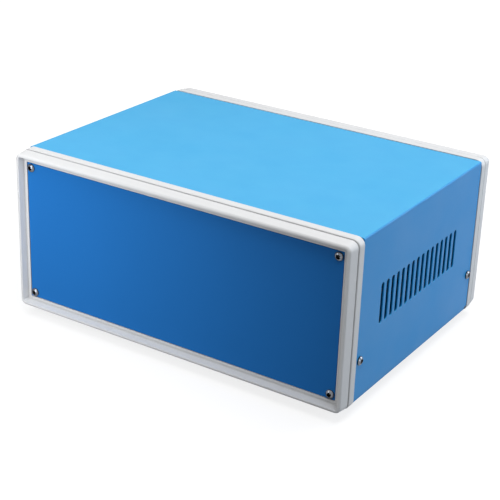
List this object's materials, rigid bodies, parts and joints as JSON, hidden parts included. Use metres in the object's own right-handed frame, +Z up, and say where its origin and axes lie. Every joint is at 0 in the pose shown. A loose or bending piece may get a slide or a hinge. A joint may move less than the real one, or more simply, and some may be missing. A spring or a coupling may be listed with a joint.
{
  "type": "electrical enclosure",
  "caption": "Rectangular bench enclosure: a folded, vented steel cover and base between moulded bezels with recessed screwed panels, on rubber feet, to house a circuit.",
  "frame": {"origin": "on the surface the feet stand on, under the middle of the case", "axes": "+Z up, front panel towards -Y, +X to the right of someone facing the front"},
  "size_m": [0.2526, 0.19, 0.1165],
  "materials": {
    "cover_paint": "satin blue powder coat on steel",
    "panel_paint": "satin blue paint on sheet metal",
    "bezel_plastic": "fine matt moulded plastic, off-white",
    "screw_steel": "smoke-grey zinc plate",
    "foot_rubber": "matt black rubber"
  },
  "bodies": {
    "root": {"top_cover": "cover_paint", "base_tray": "cover_paint", "front_bezel": "bezel_plastic", "rear_bezel": "bezel_plastic", "front_panel": "panel_paint", "rear_panel": "panel_paint", "foot_front_left": "foot_rubber", "foot_front_right": "foot_rubber", "foot_rear_left": "foot_rubber", "foot_rear_right": "foot_rubber", "foot_washers": "screw_steel", "foot_screws": "screw_steel", "foot_nuts": "screw_steel", "front_panel_screws": "screw_steel", "rear_panel_screws": "screw_steel", "left_cover_screws": "screw_steel", "right_cover_screws": "screw_steel", "front_bezel_screws": "screw_steel", "rear_bezel_screws": "screw_steel"}
  },
  "joints": []
}
